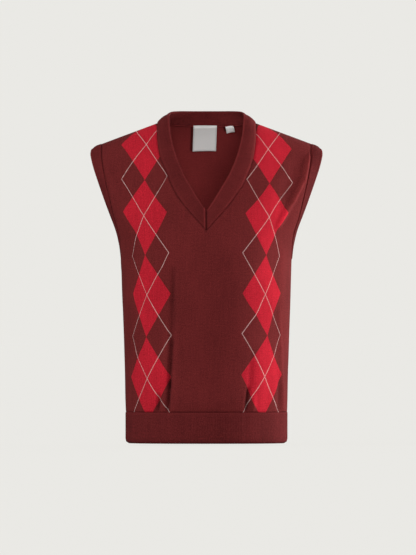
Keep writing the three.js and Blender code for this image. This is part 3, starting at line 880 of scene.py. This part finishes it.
def makeArmband(name, hand, material, steps=60):
    points, normals = [], []
    top = shoulderLine(body["shoulderHalf"])
    for face, order in (("front", range(steps + 1)), ("back", range(steps, -1, -1))):
        for k in order:
            z = mix(body["underarm"], top, 0.5 - 0.5 * math.cos(math.pi * k / steps))
            points.append(surface(face, sideAt(z), z))
            normals.append(surfaceNormal(face, sideAt(z), z))
    for k in (0, steps, steps + 1, 2 * steps + 1):
        normals[k].y = 0
        normals[k].normalize()
    points.append(points[0])
    normals.append(normals[0])
    seam = SeamLine(points, normals)
    opening, sewn = band["armOpening"], band["armSeam"]

    def openEdge(angle):
        z = opening["z"] - opening["halfHeight"] * math.cos(angle)
        return Vector((armEdgeAt(z), -opening["halfDepth"] * math.sin(angle), z))

    def placeAt(s, t, rib):
        here = seam.at(s)
        point = here[0]
        angle = math.atan2(-point.y / sewn["halfDepth"], (sewn["z"] - point.z) / sewn["halfHeight"])
        edge = openEdge(angle)
        edgeNormal = (edge - point).cross(openEdge(angle + 0.05) - openEdge(angle - 0.05)).normalized()
        stand = clamp((top - 2 - point.z) / 14)
        dip = band["seamDips"]["arm"] * stand
        bulge = mix(band["armBulge"]["low"], band["armBulge"]["top"], max(0, -math.cos(angle)) ** 5)
        place = bandProfile(here, edge, edgeNormal, bulge, dip, t, rib, stand)
        place.x *= hand
        return place

    return makeBand(name, "arm", seam.lengths[-1], band["armWidth"], placeAt, material)


def neckSeams(steps=80):
    front, back = ([], []), ([], [])
    for k in range(steps + 1):
        z = mix(body["neckTip"], body["shoulderTop"], math.sin(math.pi / 2 * k / steps))
        x = necklineAt(z)
        front[0].append(surface("front", x, z))
        front[1].append(surfaceNormal("front", x, z))
        x = body["neckHalf"] * (1 - k / steps)
        z = mix(body["backNeck"], body["shoulderTop"], (x / body["neckHalf"]) ** 2)
        back[0].append(surface("back", x, z))
        back[1].append(surfaceNormal("back", x, z))
    for normals, end in ((front[1], -1), (back[1], 0)):
        normals[end].y = 0
        normals[end].normalize()
    for normals, end in ((front[1], 0), (back[1], -1)):
        normals[end].x = 0
        normals[end].normalize()
    return SeamLine(*front), SeamLine(*back)


def makeNeckband(name, material):
    front, back = neckSeams()
    frontLength, backLength = front.lengths[-1], back.lengths[-1]
    length = 2 * (frontLength + backLength)

    def neckEdge(along):
        return Vector([neckEdgeAt[axis](along) for axis in ("x", "y", "z")])

    def placeAt(s, t, rib):
        hand = 1 if s <= 0.5 else -1
        gone = length * min(s, 1 - s)
        onFront = gone <= frontLength
        share = gone / frontLength if onFront else 1 + (gone - frontLength) / backLength
        here = front.at(share) if onFront else back.at(share - 1)
        edge = neckEdge(share)
        along = neckEdge(min(share + 0.02, 2)) - neckEdge(max(share - 0.02, 0))
        edgeNormal = along.cross(edge - here[0]).normalized()
        if share < 0.001 or share > 1.999:
            edgeNormal.x = 0
            edgeNormal.normalize()
        dip = band["seamDips"]["neck"]
        place = bandProfile(here, edge, edgeNormal, neckEdgeAt["bulge"](share), dip, t, rib)
        if share < 0.3 and t < 0.6:
            mitre = band["mitreRidge"] * bump(place.x - 3.2, 1.3) if hand < 0 else 0
            place += edgeNormal * (mitre - band["mitreDip"] * bump(place.x, 1.5))
        place.x = hand * max(place.x, 0)
        return place

    # Painted shade down the mitre's groove, and a painted highlight on the ridge beside it
    def mitreShade(s, place):
        if min(s, 1 - s) * length > 0.3 * frontLength:
            return 0
        shades = band["mitreShades"]
        ridge = shades["ridge"] * bump(place.x + 3.2, 1.3) if s > 0.5 else 0
        return ridge + shades["groove"] * bump(place.x, 1.1)

    return makeBand(name, "neck", length, band["neckWidth"], placeAt, material, mitreShade)


# A point of a label, for the shares across it and down it
def labelPlace(row, across, down):
    x = mix(row["left"], row["right"], across) + row["lean"] * down
    z = mix(row["top"], row["bottom"], down) + row["tilt"] * (across - 0.5)
    onPanel = min(z, body["backNeck"])
    behind = surface("back", x, onPanel) + Vector((0, -labelMake["bandSlope"], 1)) * (z - onPanel)
    offPanel = panel["thickness"] + labelMake["offPanel"] + row["stand"] * down
    offPanel += max(0, -foldAt("back", x, onPanel)[0])
    curl = labelMake["curl"] * (2 * across - 1) ** 2 * down
    curl += row["lift"] * (1 - across) ** 2 * (0.4 + 0.6 * down)
    return behind - surfaceNormal("back", abs(x), onPanel) * (offPanel + curl)


def makeLabel(row, material):
    bm = bmesh.new()
    cloth = bm.loops.layers.uv.new("cloth")
    width, height = row["right"] - row["left"], row["top"] - row["bottom"]
    bmesh.ops.create_grid(bm, x_segments=round(width), y_segments=round(height), size=0.5)
    shade = bm.verts.layers.float.new("shade")
    for face in bm.faces:
        for loop in face.loops:
            loop[cloth].uv = ((loop.vert.co.x + 0.5) * width, (loop.vert.co.y + 0.5) * height)
    for vertex in bm.verts:
        across, down = vertex.co.x + 0.5, 0.5 - vertex.co.y
        edge = min(across * width, (1 - across) * width, down * height, (1 - down) * height)
        vertex[shade] = labelMake["hemShade"] * bump(edge - labelMake["hemIn"], labelMake["hemWidth"])
        vertex.co = labelPlace(row, across, down)
    bmesh.ops.recalc_face_normals(bm, faces=bm.faces)
    piece = finishPiece(row["name"], bm, [material], labelMake["thickness"])
    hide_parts(row["node"])
    for line in ([(k / 20, 0.5) for k in range(21)], [(0.5, k / 20) for k in range(21)]):
        places = [labelPlace(row, *at) for at in line]
    return piece


# Materials. The cloth's own map is in millimetres, so stitches have their real size
knit = {
    "stitchWidth": 1.45,
    "stitchHeight": 1.05,
    "ground": (0.122, 0.0148, 0.0152),
    "rib": (0.1, 0.0122, 0.0127),
    "red": (0.42, 0.0125, 0.025),
    "line": (0.54, 0.36, 0.34),
    "inside": 1.68,  # the wrong side of the knit is paler, and is painted paler still as painted light, since it lies in shade
    "shadow": 0.5,  # painted shade between the loops of yarn, and a painted highlight on their tops
    "toneSpread": 0.16,  # from stitch to stitch
    "roughness": 0.9,
    "specular": 0.06,
    "bump": 0.3,
    "lineHalf": 0.5,  # half the width of a pale line, in millimetres across
}


def newMaterial(name):
    material = bpy.data.materials.new(name)
    material.use_nodes = True
    return material, material.node_tree


def addNode(tree, kind, values=None, **settings):
    node = tree.nodes.new(kind)
    for key, value in settings.items():
        setattr(node, key, value)
    for key, value in (values or {}).items():
        if isinstance(value, bpy.types.NodeSocket):
            tree.links.new(value, node.inputs[key])
        else:
            node.inputs[key].default_value = value
    return node


def calculate(tree, operation, *values):
    return addNode(tree, "ShaderNodeMath", dict(enumerate(values)), operation=operation).outputs[0]


def colourMix(tree, share, a, b):
    return addNode(tree, "ShaderNodeMix", {0: share, 6: a, 7: b}, data_type="RGBA").outputs[2]


def makeStitchGroup():
    group = bpy.data.node_groups.new("knitStitches", "ShaderNodeTree")
    sockets = group.interface
    sockets.new_socket("Cloth", in_out="INPUT", socket_type="NodeSocketVector")
    for name, value in (("Stitch width", 1.5), ("Stitch height", 1.1), ("Lean", 0.9)):
        sockets.new_socket(name, in_out="INPUT", socket_type="NodeSocketFloat").default_value = value
    for name in ("Height", "Yarn tone", "To centre up"):
        sockets.new_socket(name, in_out="OUTPUT", socket_type="NodeSocketFloat")
    given = group.nodes.new("NodeGroupInput").outputs
    place = addNode(group, "ShaderNodeSeparateXYZ", {0: given["Cloth"]}).outputs
    wale = calculate(group, "DIVIDE", place[0], given["Stitch width"])
    course = calculate(group, "DIVIDE", place[1], given["Stitch height"])
    inWale = calculate(group, "SUBTRACT", calculate(group, "FRACT", wale), 0.5)
    fromMiddle = calculate(group, "ABSOLUTE", inWale)
    leg = calculate(group, "MULTIPLY", calculate(group, "SUBTRACT", fromMiddle, 0.25), 3.6)
    squared = calculate(group, "POWER", calculate(group, "ABSOLUTE", leg), 2)
    roundYarn = calculate(group, "SUBTRACT", 1, squared)
    slanted = calculate(group, "SUBTRACT", course, calculate(group, "MULTIPLY", fromMiddle, given["Lean"]))
    inCourse = calculate(group, "FRACT", slanted)
    loop = calculate(group, "SINE", calculate(group, "MULTIPLY", inCourse, math.pi))
    alongYarn = calculate(group, "ADD", calculate(group, "MULTIPLY", loop, 0.45), 0.55)
    height = calculate(group, "MULTIPLY", calculate(group, "MAXIMUM", roundYarn, 0), alongYarn)
    # Each stitch has its own slight tone
    cell = addNode(group, "ShaderNodeCombineXYZ", {
        0: calculate(group, "FLOOR", wale), 1: calculate(group, "FLOOR", course)}).outputs[0]
    tone = addNode(group, "ShaderNodeTexWhiteNoise", {0: cell}, noise_dimensions="2D").outputs["Value"]
    upStep = calculate(group, "SUBTRACT", calculate(group, "FRACT", course), 0.5)
    toCentre = calculate(group, "MULTIPLY", upStep, calculate(group, "MULTIPLY", given["Stitch height"], -1))
    result = group.nodes.new("NodeGroupOutput").inputs
    for name, value in (("Height", height), ("Yarn tone", tone), ("To centre up", toCentre)):
        group.links.new(value, result[name])
    return group


# Soft marks over the knit: broad unevenness, and short streaks along the courses from uneven yarn
def makeYarnGroup():
    group = bpy.data.node_groups.new("yarnMarks", "ShaderNodeTree")
    sockets = group.interface
    sockets.new_socket("Cloth", in_out="INPUT", socket_type="NodeSocketVector")
    for name, value in (("Broad", 0.3), ("Streaks", 0.3), ("Wales", 0.3), ("Fuzz", 1.1)):
        sockets.new_socket(name, in_out="INPUT", socket_type="NodeSocketFloat").default_value = value
    sockets.new_socket("Tone", in_out="OUTPUT", socket_type="NodeSocketFloat")
    given = group.nodes.new("NodeGroupInput").outputs
    total = 0
    for name, scale, detail in (("Broad", (0.018, 0.012, 1), 2), ("Streaks", (0.07, 0.5, 1), 2),
                                ("Wales", (0.45, 0.02, 1), 2), ("Fuzz", (0.6, 0.5, 1), 3)):
        place = addNode(group, "ShaderNodeVectorMath", {0: given["Cloth"], 1: scale}, operation="MULTIPLY")
        values = {"Vector": place.outputs[0], "Scale": 1, "Detail": detail}
        noise = addNode(group, "ShaderNodeTexNoise", values, noise_dimensions="2D").outputs[0]
        part = calculate(group, "MULTIPLY", calculate(group, "SUBTRACT", noise, 0.5), given[name])
        total = calculate(group, "ADD", total, part)
    group.links.new(total, group.nodes.new("NodeGroupOutput").inputs["Tone"])
    return group


# A knit: its stitches, the marks in its yarn and its colour, which may be a chart's
def makeKnit(name, groups, width, colour=None, inside=False):
    material, tree = newMaterial(name)
    cloth = addNode(tree, "ShaderNodeUVMap", uv_map="cloth").outputs[0]
    stitches = addNode(tree, "ShaderNodeGroup", node_tree=groups["stitches"])
    marks = addNode(tree, "ShaderNodeGroup", node_tree=groups["yarn"])
    for node in (stitches, marks):
        tree.links.new(cloth, node.inputs["Cloth"])
    stitches.inputs["Stitch width"].default_value = width
    stitches.inputs["Lean"].default_value = 0.25 if inside else 0.9
    stitches = stitches.outputs
    if colour:
        given = addNode(tree, "ShaderNodeRGB")
        given.outputs[0].default_value = (*colour, 1)
        colour = given.outputs[0]
    else:
        colour = argyleColour(tree, stitches)
    offTone = calculate(tree, "SUBTRACT", stitches["Yarn tone"], 0.5)
    tone = calculate(tree, "MULTIPLY", offTone, knit["toneSpread"])
    offHeight = calculate(tree, "SUBTRACT", stitches["Height"], 0.62)
    shaded = calculate(tree, "MULTIPLY", offHeight, knit["shadow"])
    # Painted shade and painted highlights from the mesh: creases, seams, folded edges, and the labels'
    # painted shadow on the inside
    attribute = "insideShade" if inside else "shade"
    paintedShadeAndLight = addNode(tree, "ShaderNodeAttribute", attribute_name=attribute).outputs["Fac"]
    value = calculate(tree, "ADD", calculate(tree, "ADD", tone, paintedShadeAndLight), calculate(
        tree, "ADD", marks.outputs["Tone"], shaded))
    value = calculate(tree, "ADD", knit["inside"] if inside else 1, value)
    lit = addNode(tree, "ShaderNodeHueSaturation", {"Value": value, "Color": colour}).outputs[0]
    shader = tree.nodes["Principled BSDF"].inputs
    tree.links.new(lit, shader["Base Color"])
    shader["Roughness"].default_value = knit["roughness"]
    shader["Specular IOR Level"].default_value = knit["specular"]
    relief = addNode(tree, "ShaderNodeBump", {
        "Height": stitches["Height"], "Strength": knit["bump"], "Distance": 0.0004})
    tree.links.new(relief.outputs[0], shader["Normal"])
    return material


# Diamonds and pale lines are counted in whole stitches up the cloth, as a knitted chart is
def argyleColour(tree, stitches):
    chart = addNode(tree, "ShaderNodeUVMap", uv_map="chart").outputs[0]
    place = addNode(tree, "ShaderNodeSeparateXYZ", {0: chart}).outputs
    steps = calculate(tree, "ABSOLUTE", place[0])
    level = calculate(tree, "SUBTRACT", place[1], calculate(
        tree, "DIVIDE", stitches["To centre up"], argyle["levelHeight"]))
    toCorner = calculate(tree, "PINGPONG", level, 1)
    inDiamond = calculate(tree, "LESS_THAN", calculate(tree, "ADD", steps, toCorner), 1)
    offLine = calculate(tree, "ABSOLUTE", calculate(tree, "SUBTRACT", steps, toCorner))
    lineHalf = knit["lineHalf"] / argyle["halfWidth"]
    onLine = calculate(tree, "MULTIPLY", calculate(tree, "LESS_THAN", offLine, lineHalf), calculate(
        tree, "LESS_THAN", steps, 1 + lineHalf))
    diamonds = colourMix(tree, inDiamond, (*knit["ground"], 1), (*knit["red"], 1))
    return colourMix(tree, onLine, diamonds, (*knit["line"], 1))


def makeLabelCloth():
    material, tree = newMaterial("labelTape")
    cloth = addNode(tree, "ShaderNodeUVMap", uv_map="cloth").outputs[0]
    weave = addNode(tree, "ShaderNodeTexWave", {"Vector": cloth, "Scale": 1.1, "Distortion": 0.4},
                    bands_direction="Y")
    cross = addNode(tree, "ShaderNodeTexWave", {"Vector": cloth, "Scale": 1.6, "Distortion": 0.2})
    halfCross = calculate(tree, "MULTIPLY", cross.outputs["Fac"], 0.5)
    height = calculate(tree, "ADD", weave.outputs["Fac"], halfCross)
    share = calculate(tree, "MULTIPLY", height, 0.5)
    colour = colourMix(tree, share, (*labelMake["weft"], 1), (*labelMake["warp"], 1))
    hemmed = addNode(tree, "ShaderNodeAttribute", attribute_name="shade").outputs["Fac"]
    value = calculate(tree, "ADD", hemmed, 1)
    lit = addNode(tree, "ShaderNodeHueSaturation", {"Value": value, "Color": colour})
    shader = tree.nodes["Principled BSDF"].inputs
    tree.links.new(lit.outputs[0], shader["Base Color"])
    shader["Roughness"].default_value = labelMake["roughness"]
    relief = addNode(tree, "ShaderNodeBump", {"Height": height, "Strength": 0.3, "Distance": 0.0002})
    tree.links.new(relief.outputs[0], shader["Normal"])
    return material


groups = {"stitches": makeStitchGroup(), "yarn": makeYarnGroup()}
argyleKnit = makeKnit("argyleKnit", groups, knit["stitchWidth"])
argyleInside = makeKnit("argyleInside", groups, knit["stitchWidth"], inside=True)
maroonKnit = makeKnit("maroonKnit", groups, knit["stitchWidth"], knit["ground"])
maroonInside = makeKnit("maroonInside", groups, knit["stitchWidth"], knit["ground"], inside=True)
maroonRib = makeKnit("maroonRib", groups, band["ribPitch"] / 2, knit["rib"])
labelTape = makeLabelCloth()
print("materials made")


def standFor(node):
    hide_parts(node)


frontPanel = makePanel("frontPanel", "front", [argyleKnit, argyleInside])
backPanel = makePanel("backPanel", "back", [maroonKnit, maroonInside])
standFor("front_panel")
standFor("back_panel")
frontHem = makeHem("frontHem", "front", maroonRib)
backHem = makeHem("backHem", "back", maroonRib)
standFor("front_hem_rib")
standFor("back_hem_rib")
rightArmband = makeArmband("rightArmband", 1, maroonRib)
leftArmband = makeArmband("leftArmband", -1, maroonRib)
for piece, node in ((rightArmband, "right_armband"), (leftArmband, "left_armband")):
    standFor(node)
neckband = makeNeckband("neckRib", maroonRib)
standFor("neckband")
for row in labels:
    makeLabel(row, labelTape)
print("pieces made")
